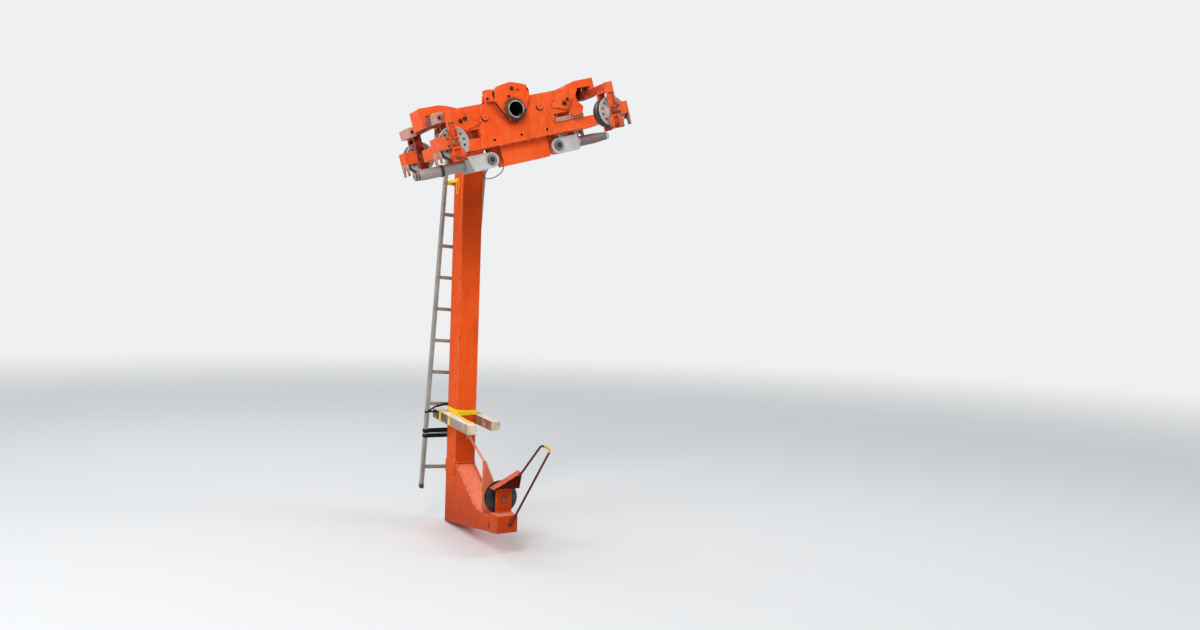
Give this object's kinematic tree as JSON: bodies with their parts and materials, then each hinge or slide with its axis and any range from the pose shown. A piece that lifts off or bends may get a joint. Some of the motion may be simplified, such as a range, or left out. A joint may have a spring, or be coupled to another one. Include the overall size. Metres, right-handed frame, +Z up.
{
  "type": "aerial tramway carriage with hanger",
  "caption": "Twin-rope running carriage of an aerial tramway: grooved wheels, haul-rope sockets, hollow pivot axle and a long side hanger whose foot returns under the ropes.",
  "frame": {"origin": "midway between the two track ropes at rope-centre height, at mid-carriage, on the mount track_rope_seat", "axes": "+X level along the line towards its uphill end, +Y level across the line towards the hanger's side, +Z up"},
  "size_m": [1.6917, 1.7122, 3.8755],
  "materials": {
    "orange_paint": "gloss, weathered",
    "faded_paint": "chalky",
    "dark_red_paint": "satin",
    "wheel_steel": "dull, greasy rims",
    "bright_steel": "satin",
    "socket_zinc": "dull galvanised",
    "sheave_iron": "dark, oiled",
    "aluminium_rail": "dull",
    "timber_wood": "weathered",
    "yellow_web": "woven",
    "black_web": "woven"
  },
  "bodies": {
    "carriage": {"main_girder": "orange_paint", "side_plates": "orange_paint", "pivot_plates": "orange_paint", "plate_spacer": "orange_paint", "stop_block": "orange_paint", "lower_gooseneck_arm": "orange_paint", "upper_gooseneck_arm": "orange_paint", "lower_crossbeam": "orange_paint", "upper_crossbeam": "orange_paint", "lower_near_fork": "orange_paint", "lower_far_fork": "orange_paint", "upper_near_fork": "orange_paint", "upper_far_fork": "orange_paint", "lower_wheel_guards": "orange_paint", "upper_wheel_guards": "orange_paint", "slot_bar": "orange_paint", "buffer_blocks": "faded_paint", "guard_end_plates": "faded_paint", "main_axle": "bright_steel", "axle_cap": "bright_steel", "wheel_axles": "bright_steel", "haul_rope_pins": "bright_steel"},
    "hanger": {"hanger_head": "orange_paint", "hanger_column": "orange_paint", "hanger_foot": "orange_paint", "foot_end_block": "orange_paint", "sheave_posts": "orange_paint", "sheave_pin": "bright_steel", "sheave_hood": "orange_paint", "loop_bar": "dark_red_paint", "stay_rod": "orange_paint", "ladder_standoffs": "orange_paint", "ladder": "aluminium_rail", "ladder_strap": "black_web", "column_timbers": "timber_wood", "timber_strap": "yellow_web"},
    "lower_near_wheel": {"lower_near_wheel": "wheel_steel"},
    "lower_far_wheel": {"lower_far_wheel": "wheel_steel"},
    "upper_near_wheel": {"upper_near_wheel": "wheel_steel"},
    "upper_far_wheel": {"upper_far_wheel": "wheel_steel"},
    "lower_rope_socket": {"lower_rope_socket": "socket_zinc"},
    "upper_rope_socket": {"upper_rope_socket": "socket_zinc"},
    "foot_sheave": {"foot_sheave": "sheave_iron"}
  },
  "joints": [
    {"name": "lower_near_wheel_spin", "type": "hinge", "parent": "carriage", "child": "lower_near_wheel", "pos_m": [-0.68713, -0.41, -0.07832], "axis": [0, 1, 0], "continuous": true},
    {"name": "lower_far_wheel_spin", "type": "hinge", "parent": "carriage", "child": "lower_far_wheel", "pos_m": [-0.68713, 0.41, -0.07832], "axis": [0, 1, 0], "continuous": true},
    {"name": "upper_near_wheel_spin", "type": "hinge", "parent": "carriage", "child": "upper_near_wheel", "pos_m": [0.61345, -0.41, 0.31931], "axis": [0, 1, 0], "continuous": true},
    {"name": "upper_far_wheel_spin", "type": "hinge", "parent": "carriage", "child": "upper_far_wheel", "pos_m": [0.61345, 0.41, 0.31931], "axis": [0, 1, 0], "continuous": true},
    {"name": "hanger_swing", "type": "hinge", "parent": "carriage", "child": "hanger", "pos_m": [-0.08211, 0.9, 0.29592], "axis": [0, 1, 0], "range_deg": [-35, 35]},
    {"name": "lower_socket_swing", "type": "hinge", "parent": "carriage", "child": "lower_rope_socket", "pos_m": [-0.23649, 0, -0.1089], "axis": [0, 1, 0], "range_deg": [-15, 5]},
    {"name": "upper_socket_swing", "type": "hinge", "parent": "carriage", "child": "upper_rope_socket", "pos_m": [0.34303, 0, 0.06828], "axis": [0, 1, 0], "range_deg": [-5, 15]},
    {"name": "foot_sheave_spin", "type": "hinge", "parent": "hanger", "child": "foot_sheave", "pos_m": [-0.08211, -0.075, -2.79208], "axis": [0, 1, 0], "continuous": true}
  ]
}
